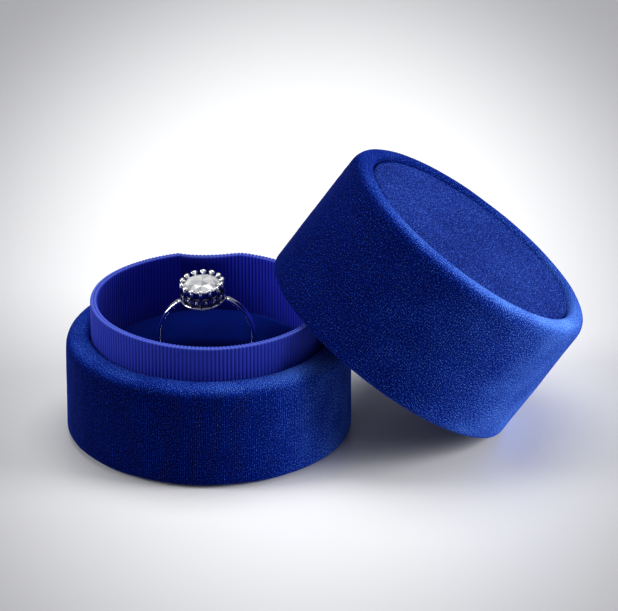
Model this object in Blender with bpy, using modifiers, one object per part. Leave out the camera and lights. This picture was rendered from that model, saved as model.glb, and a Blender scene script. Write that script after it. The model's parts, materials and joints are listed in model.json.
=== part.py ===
"""A round velvet ring box: a drum base with a ribbon-covered collar and a slit cushion, a ring
standing in the cushion, and the loose lid leaning on the collar with its rim on the table."""

import math

import bpy
from mathutils import Matrix, Vector

MM = 0.001
SEGMENTS = 36  # facets round every turned piece, so coaxial pieces keep their gaps
FILLET_STEPS = 2

# The drum: base and lid share one outside radius.
DRUM_RADIUS = 27.5 * MM
CLOTH = 0.6 * MM  # velvet with its backing
GAP = 0.3 * MM  # between pieces that are glued or rest on each other
SHELL_WALL = 1.2 * MM
SHELL_RADIUS = DRUM_RADIUS - CLOTH - GAP

# Base
BASE_HEIGHT = 20.7 * MM  # to the ridge of the shoulder
SHOULDER_DROP = 0.4 * MM  # the shoulder falls this much from the collar to its outer edge
SHOULDER_FILLET = 2.8 * MM
FOOT_FILLET = 1.6 * MM
FOOT_DISC = 0.8 * MM
FOOT_DISC_RADIUS = 24.0 * MM
HEM_HEIGHT = 0.25 * MM  # the turned-under velvet clears the table by this
FLOOR_BOTTOM = 1.2 * MM
FLOOR_TOP = 2.7 * MM
BASE_LIP_DEPTH = 5.6 * MM  # the thicker stretch of shell that grips the collar

# Collar: a card tube with grosgrain ribbon outside and inside
COLLAR_RADIUS = 22.64 * MM
COLLAR_TOP = 27.15 * MM
RIBBON = 0.3 * MM
CARD = 0.35 * MM
LAYER_GAP = 0.1 * MM
RIBBON_FOOT = 14.0 * MM
LINING_FOOT = 9.0 * MM
CARD_BELOW_TOP = 0.25 * MM

# Cushion: two domed half rounds with the ring's slit between them
CUSHION_BOARD = 1.2 * MM
CUSHION_EDGE_TOP = 15.6 * MM
CUSHION_CROWN = 19.0 * MM
CUSHION_EDGE_FILLET = 1.4 * MM
CROWN_POWER = 2.2

# Ring
RING_CENTRE = Vector((-0.47, 0.0, 19.5)) * MM
RING_LEAN = math.radians(7.0)  # the top comes forward, towards -Y
RING_ROLL = math.radians(-3.5)  # and a little towards -X
RING_RADIUS = 9.6 * MM
SHANK_THICKNESS = 1.0 * MM
SHANK_WIDTH = 1.8 * MM
SHANK_CHAMFER = 0.25 * MM
SLIT_CLEARANCE = 0.3 * MM
HEAD_RADIUS = 4.0 * MM
RAIL_HEIGHT = 8.4 * MM  # heights in the head are above the ring's centre
SEAT_HEIGHT = 10.1 * MM
BEAD_HEIGHT = 11.9 * MM
RAIL_WIRE = 0.35 * MM
SEAT_WIRE = 0.28 * MM
SEAT_RADIUS = 3.75 * MM
PRONG_COUNT = 14
PRONG_TURN = math.radians(9.9)  # from the ring's X axis to the first prong
PRONG_WIRE = 0.28 * MM
BEAD_RADIUS = 0.5 * MM
STONE_RADIUS = 3.4 * MM
STONE_TABLE_RADIUS = 1.9 * MM
GIRDLE_HEIGHT = 11.3 * MM
GIRDLE = 0.15 * MM
TABLE_RISE = 0.9 * MM
PAVILION_DEPTH = 2.6 * MM
STONE_FACETS = 16

# Lid, measured from its mouth (0) to its top
LID_HEIGHT = 28.0 * MM
LID_BORE = 23.0 * MM
LID_TOP_FILLET = 2.4 * MM
LID_ROLL_FILLET = 1.2 * MM
LID_RIM_FILLET = 1.1 * MM
LID_TUCK = 3.6 * MM  # how far the velvet is turned up inside the mouth
ROLL_RADIUS = 23.4 * MM  # inner edge of the rolled velvet round the top disc
TOP_DISC_RADIUS = 23.1 * MM
TOP_DISC_BELOW = 0.7 * MM
PLATE_BOTTOM = 23.2 * MM
PLATE_TOP = 24.6 * MM
SLEEVE_WALL = 1.2 * MM
CEILING_FACE = 19.6 * MM
CEILING_RADIUS = 22.6 * MM

# How the loose lid lies: it leans on the collar and its rim meets the table.
LID_TILT = math.radians(36.1)
LID_TURN = math.radians(4.4)
LID_MOUTH_X = 34.55 * MM
LID_MOUTH_Y = 3.1 * MM

COLOURS = {
    "velvet": ((0.010, 0.030, 0.30), 0.85, 0.0),
    "grosgrain": ((0.045, 0.065, 0.50), 0.60, 0.0),
    "card": ((0.30, 0.28, 0.25), 0.85, 0.0),
    "moulding": ((0.05, 0.05, 0.06), 0.45, 0.0),
    "foam": ((0.70, 0.69, 0.62), 0.95, 0.0),
    "silver": ((0.90, 0.90, 0.92), 0.12, 1.0),
    "stone": ((0.92, 0.94, 0.98), 0.03, 0.0),
}


def clear_scene():
    for obj in list(bpy.data.objects):
        bpy.data.objects.remove(obj, do_unlink=True)


def new_collection(name):
    made = bpy.data.collections.new(name)
    bpy.context.scene.collection.children.link(made)
    return made


def material(name):
    found = bpy.data.materials.get(name)
    if found:
        return found
    colour, roughness, metallic = COLOURS[name]
    made = bpy.data.materials.new(name)
    made.use_nodes = True
    shader = made.node_tree.nodes["Principled BSDF"]
    shader.inputs["Base Color"].default_value = (*colour, 1.0)
    shader.inputs["Roughness"].default_value = roughness
    shader.inputs["Metallic"].default_value = metallic
    made.diffuse_color = (*colour, 1.0)
    return made


def frame_empty(name, matrix):
    made = bpy.data.objects.new(name, None)
    made.empty_display_size = 5 * MM
    BOX.objects.link(made)
    made.matrix_world = matrix
    return made


def place(obj, mat=None, parent=None, cutter=False):
    """Puts an object in its collection, with its material or as a hidden cutter."""
    for old in list(obj.users_collection):
        old.objects.unlink(obj)
    (CUTTERS if cutter else BOX).objects.link(obj)
    if cutter:
        obj.hide_render = True
        obj.display_type = "WIRE"
    else:
        obj.data.materials.clear()
        obj.data.materials.append(material(mat))
    if parent:
        obj.parent = parent
    return obj


def rounded(corners):
    """A polyline through (r, z, fillet) corners, with each fillet drawn as an arc of points."""
    points = [Vector(corner[:2]) for corner in corners]
    radii = [corner[2] if len(corner) > 2 else 0.0 for corner in corners]
    line = []
    for i, point in enumerate(points):
        if not radii[i]:
            line.append(point)
            continue
        back = (points[i - 1] - point).normalized()
        ahead = (points[i + 1] - point).normalized()
        half = back.angle(ahead) / 2
        centre = point + (back + ahead).normalized() * (radii[i] / math.sin(half))
        start = (point + back * (radii[i] / math.tan(half))) - centre
        turn = math.pi - 2 * half
        side = 1 if back.x * ahead.y - back.y * ahead.x < 0 else -1
        for step in range(FILLET_STEPS + 1):
            line.append(centre + Matrix.Rotation(side * turn * step / FILLET_STEPS, 2) @ start)
    return line


def offset(line, distance):
    """The polyline moved sideways, to the right of its direction for a positive distance."""
    moved = []
    for i, point in enumerate(line):
        before = (point - line[i - 1]).normalized() if i else None
        after = (line[i + 1] - point).normalized() if i < len(line) - 1 else None
        first, second = before or after, after or before
        normal = (first + second).normalized()
        normal = Vector((normal.y, -normal.x))
        stretch = 1 / max(0.2, normal.dot(Vector((first.y, -first.x))))
        moved.append(point + normal * distance * stretch)
    return moved


def skin(corners, distance):
    """The closed section of a cloth of constant thickness laid along a path of corners."""
    line = rounded(corners)
    return line + offset(line, distance)[::-1]


def signed_area(line):
    pairs = zip(line, line[1:] + line[:1])
    return sum(a.x * b.y - b.x * a.y for a, b in pairs) / 2


def turned(name, section, mat=None, parent=None, axis="Z", cutter=False):
    """A section of (radius, height) points turned about the axis by a Screw modifier."""
    section = [Vector(point) for point in section]
    if signed_area(section) > 0:
        section.reverse()
    on_axis = [i for i, point in enumerate(section) if point.x == 0.0]
    if on_axis:  # start and end on the axis, and leave the axis itself open
        while not (section[0].x == 0.0 and section[-1].x == 0.0):
            section = section[1:] + section[:1]
    count = len(section)
    edges = [(i, i + 1) for i in range(count - 1)] + ([] if on_axis else [(count - 1, 0)])
    if axis == "Z":
        points = [(p.x, 0.0, p.y) for p in section]
    else:
        points = [(p.x, -p.y, 0.0) for p in section]
    mesh = bpy.data.meshes.new(name)
    mesh.from_pydata(points, edges, [])
    obj = bpy.data.objects.new(name, mesh)
    place(obj, mat, parent, cutter)
    screw = obj.modifiers.new("Turn", "SCREW")
    screw.axis = axis
    screw.steps = screw.render_steps = SEGMENTS
    screw.use_merge_vertices = True
    screw.merge_threshold = 1e-6
    return obj


def tube(outer, inner, bottom, top):
    return [(inner, bottom), (outer, bottom), (outer, top), (inner, top)]


def disc(radius, bottom, top):
    return [(0.0, bottom), (radius, bottom), (radius, top), (0.0, top)]


def cut(obj, cutter, operation="DIFFERENCE"):
    boolean = obj.modifiers.new("Cut", "BOOLEAN")
    boolean.operation = operation
    boolean.object = cutter
    boolean.solver = "EXACT"


def block(name, centre, size, parent=None, lean=0.0):
    """A box cutter, its scale applied."""
    bpy.ops.mesh.primitive_cube_add(size=1.0)
    obj = bpy.context.active_object
    obj.name = name
    obj.data.transform(Matrix.Diagonal((*size, 1.0)))
    obj.location = centre
    obj.rotation_euler = (lean, 0.0, 0.0)
    return place(obj, parent=parent, cutter=True)


def add_base():
    """The moulded drum, its velvet and the disc that it stands on."""
    turned("base_foot_disc", disc(FOOT_DISC_RADIUS, 0.0, FOOT_DISC), "velvet")
    ridge = BASE_HEIGHT + 0.15 * MM
    edge = BASE_HEIGHT - SHOULDER_DROP
    tuck = COLLAR_RADIUS + GAP
    wrap = skin(
        [
            (tuck, BASE_HEIGHT - 3.0 * MM),
            (tuck, ridge, 0.9 * MM),
            (DRUM_RADIUS, edge, SHOULDER_FILLET),
            (DRUM_RADIUS, HEM_HEIGHT, FOOT_FILLET),
            (FOOT_DISC_RADIUS + 0.6 * MM, HEM_HEIGHT),
        ],
        CLOTH,
    )
    turned("base_velvet_wrap", wrap, "velvet")
    lip = tuck + CLOTH + GAP
    shell_top = edge - CLOTH - GAP
    shell = rounded(
        [
            (0.0, FLOOR_BOTTOM),
            (SHELL_RADIUS, FLOOR_BOTTOM, SHELL_WALL),
            (SHELL_RADIUS, shell_top, SHOULDER_FILLET - CLOTH),
            (lip, shell_top),
            (lip, shell_top - BASE_LIP_DEPTH),
            (SHELL_RADIUS - SHELL_WALL, shell_top - BASE_LIP_DEPTH),
            (SHELL_RADIUS - SHELL_WALL, FLOOR_TOP),
            (0.0, FLOOR_TOP),
        ]
    )
    turned("base_shell", shell, "moulding")


def add_collar():
    """The card tube glued into the base, and the ribbon round it and inside it."""
    outer = COLLAR_RADIUS
    turned("collar_ribbon", tube(outer, outer - RIBBON, RIBBON_FOOT, COLLAR_TOP), "grosgrain")
    outer -= RIBBON + LAYER_GAP
    card_top = COLLAR_TOP - CARD_BELOW_TOP
    turned("collar_card", tube(outer, outer - CARD, FLOOR_TOP + GAP, card_top), "card")
    outer -= CARD + LAYER_GAP
    turned("collar_lining", tube(outer, outer - RIBBON, LINING_FOOT, COLLAR_TOP), "grosgrain")
    return outer - RIBBON


def dome(radius, bottom, inset):
    """The cushion's section: a straight side, a soft edge and a crown that rises to the middle."""
    line = [(0.0, bottom), (radius, bottom)]
    reach = radius - CUSHION_EDGE_FILLET
    steps = 5
    for i in range(steps + 1):
        share = 1 - i / steps
        height = CUSHION_CROWN - (CUSHION_CROWN - CUSHION_EDGE_TOP) * share**CROWN_POWER
        line.append((reach * share, height - inset))
    line.insert(2, (radius, CUSHION_EDGE_TOP - CUSHION_EDGE_FILLET - inset))
    shave = 0.3 * CUSHION_EDGE_FILLET
    line.insert(3, (radius - shave, CUSHION_EDGE_TOP - shave - inset))
    return line


def half_round(name, side, radius, bottom, inset, mat=None):
    """One half of the dome, cut back from the slit by the inset on the side given by -1 or 1."""
    is_cutter = mat is None
    half = turned(name, dome(radius - inset, bottom, inset), mat, cutter=is_cutter)
    size = 80 * MM
    reach = size / 2 - SHANK_WIDTH / 2 - SLIT_CLEARANCE - inset
    centre = RING_CENTRE - side * reach * Vector((0.0, math.cos(RING_LEAN), math.sin(RING_LEAN)))
    half_space = block(name + "_slit", centre, (size, size, size), lean=RING_LEAN)
    cut(half, half_space)
    return half


def add_cushion(bore):
    """A card, and two foam half rounds under velvet that is open below."""
    bottom = FLOOR_TOP + GAP
    top = bottom + CUSHION_BOARD
    radius = bore - GAP
    turned("cushion_board", disc(radius, bottom, top), "card")
    foot = top + GAP
    for word, side in (("front", -1), ("rear", 1)):
        cover = half_round("cushion_cover_" + word, side, radius, foot, 0.0, "velvet")
        inside = half_round("hollow_" + word, side, radius, foot - 1 * MM, CLOTH)
        cut(cover, inside)
        half_round("cushion_foam_" + word, side, radius, foot, CLOTH + GAP, "foam")


def torus(name, ring, wire, height, parent):
    bpy.ops.mesh.primitive_torus_add(
        major_radius=ring, minor_radius=wire, major_segments=28, minor_segments=5
    )
    obj = bpy.context.active_object
    obj.name = name
    obj.location = (0.0, 0.0, height)
    return place(obj, "silver", parent)


def prong(index, pieces, parent):
    """A wire and its bead, both low in facets."""
    angle = 2 * math.pi * index / PRONG_COUNT + PRONG_TURN
    x, y = HEAD_RADIUS * math.cos(angle), HEAD_RADIUS * math.sin(angle)
    length = BEAD_HEIGHT - RAIL_HEIGHT
    bpy.ops.mesh.primitive_cylinder_add(vertices=6, radius=PRONG_WIRE, depth=length)
    wire = bpy.context.active_object
    bpy.ops.mesh.primitive_uv_sphere_add(segments=6, ring_count=3, radius=BEAD_RADIUS)
    bead = bpy.context.active_object
    for obj, word, height in ((wire, "wire", RAIL_HEIGHT + length / 2), (bead, "bead", BEAD_HEIGHT)):
        obj.name = f"prong_{word}_{index + 1}"
        obj.location = (x, y, height)
        obj.rotation_euler = (0.0, 0.0, angle)
        place(obj, parent=parent, cutter=True)
        CUTTERS.objects.unlink(obj)
        pieces.objects.link(obj)


def add_ring(frame):
    """The open shank, the crown-shaped head soldered between its ends, and the round stone."""
    inner = RING_RADIUS - SHANK_THICKNESS
    half, chamfer = SHANK_WIDTH / 2, SHANK_CHAMFER
    section = [
        (inner, -half + chamfer),
        (inner + chamfer, -half),
        (RING_RADIUS - chamfer, -half),
        (RING_RADIUS, -half + chamfer),
        (RING_RADIUS, half - chamfer),
        (RING_RADIUS - chamfer, half),
        (inner + chamfer, half),
        (inner, half - chamfer),
    ]
    shank = turned("ring_shank", section, "silver", frame, axis="Y")
    opening = 2 * (HEAD_RADIUS + RAIL_WIRE + GAP)
    top = block("shank_gap", (0.0, 0.0, RING_RADIUS), (opening, 6 * MM, 5 * MM), frame)
    cut(shank, top)

    head = torus("ring_head", HEAD_RADIUS, RAIL_WIRE, RAIL_HEIGHT, frame)
    pieces = bpy.data.collections.new("head_pieces")
    CUTTERS.children.link(pieces)
    seat = torus("head_seat", SEAT_RADIUS, SEAT_WIRE, SEAT_HEIGHT, frame)
    place(seat, parent=frame, cutter=True)
    CUTTERS.objects.unlink(seat)
    pieces.objects.link(seat)
    for index in range(PRONG_COUNT):
        prong(index, pieces, frame)
    join = head.modifiers.new("Join", "BOOLEAN")
    join.operation = "UNION"
    join.operand_type = "COLLECTION"
    join.collection = pieces
    join.solver = "EXACT"

    stone = [
        (0.0, GIRDLE_HEIGHT - PAVILION_DEPTH),
        (STONE_RADIUS, GIRDLE_HEIGHT),
        (STONE_RADIUS, GIRDLE_HEIGHT + GIRDLE),
        (STONE_TABLE_RADIUS, GIRDLE_HEIGHT + TABLE_RISE),
        (0.0, GIRDLE_HEIGHT + TABLE_RISE),
    ]
    obj = turned("ring_stone", stone, "stone", frame)
    obj.modifiers["Turn"].steps = obj.modifiers["Turn"].render_steps = STONE_FACETS


def lid_wrap_path():
    return [
        (LID_BORE, LID_TUCK),
        (LID_BORE, 0.0, LID_RIM_FILLET),
        (DRUM_RADIUS, 0.0, LID_RIM_FILLET),
        (DRUM_RADIUS, LID_HEIGHT, LID_TOP_FILLET),
        (ROLL_RADIUS, LID_HEIGHT, LID_ROLL_FILLET),
        (ROLL_RADIUS, PLATE_TOP + 1.0 * MM),
    ]


def lid_matrix():
    """The leaning lid's frame at its mouth: the lowest point of its rim lies on the table."""
    drops = [p.x * math.sin(LID_TILT) - p.y * math.cos(LID_TILT) for p in rounded(lid_wrap_path())]
    mouth = Vector((LID_MOUTH_X, LID_MOUTH_Y, max(drops)))
    turn = Matrix.Rotation(LID_TURN, 4, "Z") @ Matrix.Rotation(LID_TILT, 4, "Y")
    return Matrix.Translation(mouth) @ turn


def add_lid(frame):
    """The moulded cup, its velvet, the inset top disc, and the lining and pad inside."""
    turned("lid_velvet_wrap", skin(lid_wrap_path(), -CLOTH), "velvet", frame)
    rim = CLOTH + GAP
    recess = ROLL_RADIUS + CLOTH + GAP
    lip_top = LID_HEIGHT - CLOTH - GAP
    shell = rounded(
        [
            (0.0, PLATE_TOP),
            (recess, PLATE_TOP),
            (recess, lip_top),
            (SHELL_RADIUS, lip_top, LID_TOP_FILLET - CLOTH),
            (SHELL_RADIUS, rim),
            (SHELL_RADIUS - SHELL_WALL, rim),
            (SHELL_RADIUS - SHELL_WALL, PLATE_BOTTOM),
            (0.0, PLATE_BOTTOM),
        ]
    )
    turned("lid_shell", shell, "moulding", frame)

    sleeve = SHELL_RADIUS - SHELL_WALL - GAP
    under_plate = PLATE_BOTTOM - GAP
    turned("lid_sleeve", tube(sleeve, sleeve - SLEEVE_WALL, rim, under_plate), "card", frame)
    lining = tube(LID_BORE + CLOTH, LID_BORE, LID_TUCK + GAP, under_plate)
    turned("lid_lining", lining, "velvet", frame)

    cover = [
        (0.0, CEILING_FACE),
        (CEILING_RADIUS, CEILING_FACE, 1.2 * MM),
        (CEILING_RADIUS, under_plate),
    ]
    turned("lid_ceiling_cover", skin(cover, -CLOTH), "velvet", frame)
    foam = disc(CEILING_RADIUS - CLOTH - GAP, CEILING_FACE + CLOTH + GAP, under_plate)
    turned("lid_ceiling_foam", foam, "foam", frame)

    board_foot = PLATE_TOP + GAP
    disc_top = LID_HEIGHT - TOP_DISC_BELOW
    top_cover = [
        (0.0, disc_top),
        (TOP_DISC_RADIUS, disc_top, 0.7 * MM),
        (TOP_DISC_RADIUS, board_foot),
    ]
    turned("lid_top_velvet", skin(top_cover, CLOTH), "velvet", frame)
    board = disc(TOP_DISC_RADIUS - CLOTH - GAP, board_foot, disc_top - CLOTH - GAP)
    turned("lid_top_board", board, "card", frame)


clear_scene()
BOX = new_collection("ring_box")
CUTTERS = new_collection("cutters")

add_base()
add_cushion(add_collar())
ring_turn = Matrix.Rotation(RING_LEAN, 4, "X") @ Matrix.Rotation(RING_ROLL, 4, "Y")
add_ring(frame_empty("ring_frame", Matrix.Translation(RING_CENTRE) @ ring_turn))
add_lid(frame_empty("lid_frame", lid_matrix()))
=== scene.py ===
# %% [markdown]
# # A round velvet ring box
# A ring box of this kind is a small moulded drum wrapped in velvet. A card collar covered in
# grosgrain ribbon stands up inside the base, and the lid slips down over it. Here the lid is off
# and leans on the collar, and a ring stands in the slit of the cushion.
# The mechanical model is already finished: it gives every size and place. This lesson only
# dresses it, piece by piece, with surfaces worked out as numpy arrays and procedural materials.

# %% Load the fixed model
import json
import math

import bmesh
import bpy
import numpy as np
from mathutils import Matrix, Vector


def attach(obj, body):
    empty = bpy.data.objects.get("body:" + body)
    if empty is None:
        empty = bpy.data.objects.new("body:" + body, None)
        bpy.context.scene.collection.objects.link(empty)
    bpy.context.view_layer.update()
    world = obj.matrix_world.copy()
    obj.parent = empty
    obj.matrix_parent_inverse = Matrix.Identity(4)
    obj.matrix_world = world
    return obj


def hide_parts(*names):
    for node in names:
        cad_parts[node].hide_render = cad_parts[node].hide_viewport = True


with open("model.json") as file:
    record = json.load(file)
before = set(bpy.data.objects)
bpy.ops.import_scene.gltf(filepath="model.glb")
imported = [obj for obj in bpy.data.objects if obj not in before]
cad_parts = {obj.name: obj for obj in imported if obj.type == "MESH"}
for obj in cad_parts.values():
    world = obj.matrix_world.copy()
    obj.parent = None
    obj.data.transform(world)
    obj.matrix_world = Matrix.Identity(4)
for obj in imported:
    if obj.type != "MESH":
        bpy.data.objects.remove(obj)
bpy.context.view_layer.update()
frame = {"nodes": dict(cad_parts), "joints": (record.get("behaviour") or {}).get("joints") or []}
MM = 0.001

# %% [markdown]
# The camera looks at the box from a little above, as a person does who sees it on a table. A long
# lens from more than a metre away keeps both drums free of wide-angle stretch.

# %% The camera
CAMERA_DISTANCE = 1.2
CAMERA_ELEVATION = math.radians(24.74)
CAMERA_AIM = Vector((19.34, 0.0, 25.77)) * MM
CAMERA_LENS = 363.6  # millimetres, on a sensor 36 mm wide

back = Vector((0.0, -math.cos(CAMERA_ELEVATION), math.sin(CAMERA_ELEVATION)))
camera_data = bpy.data.cameras.new("camera")
camera_data.lens = CAMERA_LENS
camera_data.sensor_width = 36.0
camera_data.clip_start, camera_data.clip_end = 0.05, 20.0
camera = bpy.data.objects.new("camera", camera_data)
bpy.context.scene.collection.objects.link(camera)
camera.location = CAMERA_AIM + back * CAMERA_DISTANCE
camera.rotation_euler = (-back).to_track_quat("-Z", "Y").to_euler()
bpy.context.scene.camera = camera
print("the camera stands", round(camera.location.z, 3), "m above the table")

# %% [markdown]
# Each assembly has its own frame: where it starts and which way its axis points. The base stands
# upright. The lid leans, and the ring tilts a little in its slit, so their frames are measured
# from the model: the axis is the way each one lifts off, and the centre is worked out from the
# points of a turned part, which lie evenly round it.

# %% Small helpers
def unit(vector):
    vector = np.asarray(vector, float)
    return vector / np.linalg.norm(vector)


def unit_rows(vectors):
    return vectors / np.linalg.norm(vectors, axis=1)[:, None]


def full_circle(count):
    """Angles spread evenly round a circle, the first not repeated."""
    return np.linspace(0, 2 * np.pi, count, endpoint=False)


def polar(radius, angle, height):
    """Points (radius cos a, radius sin a, height)."""
    return np.stack(np.broadcast_arrays(radius * np.cos(angle), radius * np.sin(angle), height), axis=-1)


def eased(share):
    """0 up to 0 and 1 from 1 on, with a soft start and a soft end: three squares less two cubes."""
    share = np.clip(share, 0, 1)
    return share * share * (3 - 2 * share)


def points_of(mesh):
    """The mesh's corner points, one in each row."""
    points = np.empty(len(mesh.vertices) * 3, np.float32)
    mesh.vertices.foreach_get("co", points)
    return points.reshape(-1, 3).astype(float)


# %% Frames of the base, the lid and the ring
def node_points(name):
    """The corner points of one part of the model, each once."""
    return np.unique(points_of(frame["nodes"][name].data).round(7), axis=0)


def lift_axis(joint_name):
    return unit([joint for joint in frame["joints"] if joint["name"] == joint_name][0]["axis"])


def axes_from(axis, across):
    """Rows X, Y and Z of a frame whose Z is the axis and whose Y is as near to across as can be."""
    side = unit(across - axis * (across @ axis))
    return np.array([np.cross(side, axis), side, axis])


BASE = {"origin": np.zeros(3), "axes": np.eye(3)}

lid_axis = lift_axis("lid_lift")
rim_points = node_points("lid_velvet_wrap")
along_lid = rim_points @ lid_axis
mouth = (rim_points - along_lid[:, None] * lid_axis).mean(axis=0) + lid_axis * along_lid.min()
LID = {"origin": mouth, "axes": axes_from(lid_axis, np.cross([0, 0, 1], lid_axis))}
LID_HEIGHT = np.ptp(along_lid)

ring_axis = lift_axis("ring_lift")
shank_points = node_points("ring_shank")
shank_middle = shank_points.mean(axis=0)
ring_normal = np.linalg.svd(shank_points - shank_middle)[2][2]
ring_axes = axes_from(ring_axis, ring_normal * np.sign(ring_normal[1]))
flat = (shank_points - shank_middle) @ ring_axes[[0, 2]].T
terms = np.c_[2 * flat, np.ones(len(flat))]
centre = np.linalg.lstsq(terms, (flat**2).sum(axis=1), rcond=None)[0][:2]
RING = {"origin": shank_middle + centre @ ring_axes[[0, 2]], "axes": ring_axes}
print("the lid is", round(LID_HEIGHT / MM, 2), "mm tall and leans",
      round(math.degrees(math.acos(lid_axis[2])), 1), "degrees")
print("the ring's centre is at", (RING["origin"] / MM).round(2), "mm")


# %% [markdown]
# A turned piece is a profile carried round an axis. The profile is a path of radius and height
# through a few corners, and a corner may be rounded with an arc. Points are then spread evenly
# along the path, so that cloth gets a regular mesh that takes small lumps well. The outside of the
# cloth is always to the left of the path.

# %% Profiles
ARC_POINTS = 13


def path_through(corners, step):
    """Points a step apart along straight runs and arcs. A corner is (radius, height, fillet).

    An arc turns from the start to the end of the fillet by the sines of the angle that is left
    and the angle that is done, over the sine of the whole turn.
    """
    places = np.array([corner[:2] for corner in corners], float)
    runs = []
    for i, corner in enumerate(corners):
        fillet = corner[2] if len(corner) > 2 else 0.0
        if not fillet:
            runs.append(places[i : i + 1])
            continue
        before, after = unit(places[i - 1] - places[i]), unit(places[i + 1] - places[i])
        half = math.acos(before @ after) / 2
        centre = places[i] + unit(before + after) * fillet / math.sin(half)
        start = places[i] + before * fillet / math.tan(half) - centre
        end = places[i] + after * fillet / math.tan(half) - centre
        turn = math.pi - 2 * half
        t = np.linspace(0, 1, ARC_POINTS)[:, None]
        runs.append(centre + (np.sin((1 - t) * turn) * start + np.sin(t * turn) * end) / math.sin(turn))
    line = np.concatenate(runs)
    along = np.r_[0, np.cumsum(np.linalg.norm(np.diff(line, axis=0), axis=1))]
    stations = np.linspace(0, along[-1], max(2, round(along[-1] / step) + 1))
    return np.stack([np.interp(stations, along, line[:, k]) for k in (0, 1)], axis=1)


def left_of(line):
    """Unit vectors to the left of the path's direction."""
    tangent = unit_rows(np.gradient(line, axis=0))
    return np.stack([-tangent[:, 1], tangent[:, 0]], axis=1)


# %% [markdown]
# Cloth is never quite even. Its lumps are a sum of plane waves: each wave has a random direction
# and phase from a seeded generator, and all have the same length. Many of them together give a
# soft random height at any point in space, with no seam round a drum.

# %% Lumps
WAVES = 28


def lumps(points, length, seed):
    """The mean of cosines of (direction . point / length + phase), brought to about -1 to 1."""
    rng = np.random.default_rng(seed)
    directions = unit_rows(rng.normal(size=(WAVES, 3)))
    phases = rng.uniform(0, 2 * np.pi, WAVES)
    heights = np.cos(points @ directions.T * (2 * np.pi / length) + phases)
    return heights.mean(axis=-1) * math.sqrt(WAVES) / 1.6


# %% [markdown]
# Every new surface is a grid of points: rows along the profile and columns round the axis. Its
# faces join neighbours, and it gets a UV map in metres of cloth, so that grain and threads can
# follow the cloth. Where a grid closes on itself, the last row or column joins the first, and a
# row that has shrunk to a point is merged into one pole.

# %% From grids of points to a mesh
def grid_faces(rows, columns, close_rows, close_columns):
    """Corner indices of each face as (row, column), before the wrap at the last row and column."""
    i, j = np.meshgrid(np.arange(rows - (not close_rows)), np.arange(columns - (not close_columns)),
                       indexing="ij")
    return np.stack([i, i, i + 1, i + 1], -1), np.stack([j, j + 1, j + 1, j], -1)


def mesh_of(name, grids, close_rows=True, close_columns=True, across=None):
    """One mesh of several closed grids. UV is (across, along) in metres, measured on each grid."""
    points, faces, uvs, first = [], [], [], 0
    for grid in grids:
        rows, columns = grid.shape[:2]
        i, j = grid_faces(rows, columns, close_rows, close_columns)
        faces.append((first + (i % rows) * columns + j % columns).reshape(-1, 4))
        ahead = np.linalg.norm(np.roll(grid, -1, axis=0) - grid, axis=2).mean(axis=1)
        sideways = np.linalg.norm(np.roll(grid, -1, axis=1) - grid, axis=2).sum(axis=1).max()
        along = np.r_[0, np.cumsum(ahead)]
        uvs.append(np.stack([j / columns * (across or sideways), along[i]], -1).reshape(-1))
        points.append(grid.reshape(-1, 3))
        first += rows * columns
    mesh = bpy.data.meshes.new(name)
    mesh.from_pydata(np.concatenate(points).tolist(), [], np.concatenate(faces).tolist())
    mesh.uv_layers.new(name="cloth").data.foreach_set("uv", np.concatenate(uvs).astype(np.float32))
    return mesh


# %% From a mesh to a piece
def mark(mesh, name, values, domain="POINT"):
    """Writes one number for each point or face of a mesh, for a material to read."""
    mesh.attributes.new(name, "FLOAT", domain).data.foreach_set("value", values)


def reworked(mesh, change, sources=None):
    """Reads the mesh, or its sources, into bmesh, lets change(work) edit it, and shades it smooth."""
    work = bmesh.new()
    for source in sources or [mesh]:
        work.from_mesh(source)
    change(work)
    work.to_mesh(mesh)
    work.free()
    mesh.shade_smooth()
    return mesh


def cleaned(mesh, merge=2e-7):
    """Merges poles and seams, fills open ends, and turns every face outwards."""
    def change(work):
        bmesh.ops.remove_doubles(work, verts=work.verts, dist=merge)
        bmesh.ops.holes_fill(work, edges=work.edges, sides=0)
        bmesh.ops.recalc_face_normals(work, faces=work.faces)
    return reworked(mesh, change)


def piece(mesh, material, body, nodes=()):
    """Links a finished mesh as a piece that rides on a body and stands for parts of the model."""
    obj = bpy.data.objects.new(mesh.name, mesh)
    bpy.context.scene.collection.objects.link(obj)
    mesh.materials.clear()
    mesh.materials.append(material)
    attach(obj, body)
    if nodes:
        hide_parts(*nodes)
    print(mesh.name, "has", len(mesh.polygons), "faces")
    return obj


# %% Turned shells
def in_frame(points, home):
    """Points of a local frame, in the model's frame."""
    return home["origin"] + points @ home["axes"]


def turned(line, columns, lift=None):
    """A path turned about Z: the point (radius, height) goes to (radius cos a, radius sin a, height).

    lift(points, angle) is a height along the path's left, so lumps, ribs and seams go in there.
    """
    angle = full_circle(columns)
    spoke = polar(1.0, angle, 0.0)
    up = np.array([0.0, 0.0, 1.0])
    grid = line[:, None, :1] * spoke + line[:, None, 1:] * up
    if lift is None:
        return grid
    left = left_of(line)
    return grid + (left[:, None, :1] * spoke + left[:, None, 1:] * up) * lift(grid, angle)[..., None]


def cloth_shell(corners, thickness, step, columns, lift=None):
    """A closed grid of cloth: the lifted outside, then a plain and coarser inside below it."""
    line = path_through(corners, step)
    inside = (line - left_of(line) * thickness)[::-1]
    return np.concatenate([turned(line, columns, lift), turned(inside[::3], columns)])


def turned_solid(name, corners, step, columns, home, merge=1e-6):
    """The mesh of a solid turned from a profile that starts and ends on its axis."""
    grid = in_frame(turned(path_through(corners, step), columns), home)
    return cleaned(mesh_of(name, [grid], close_rows=False), merge)


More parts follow.
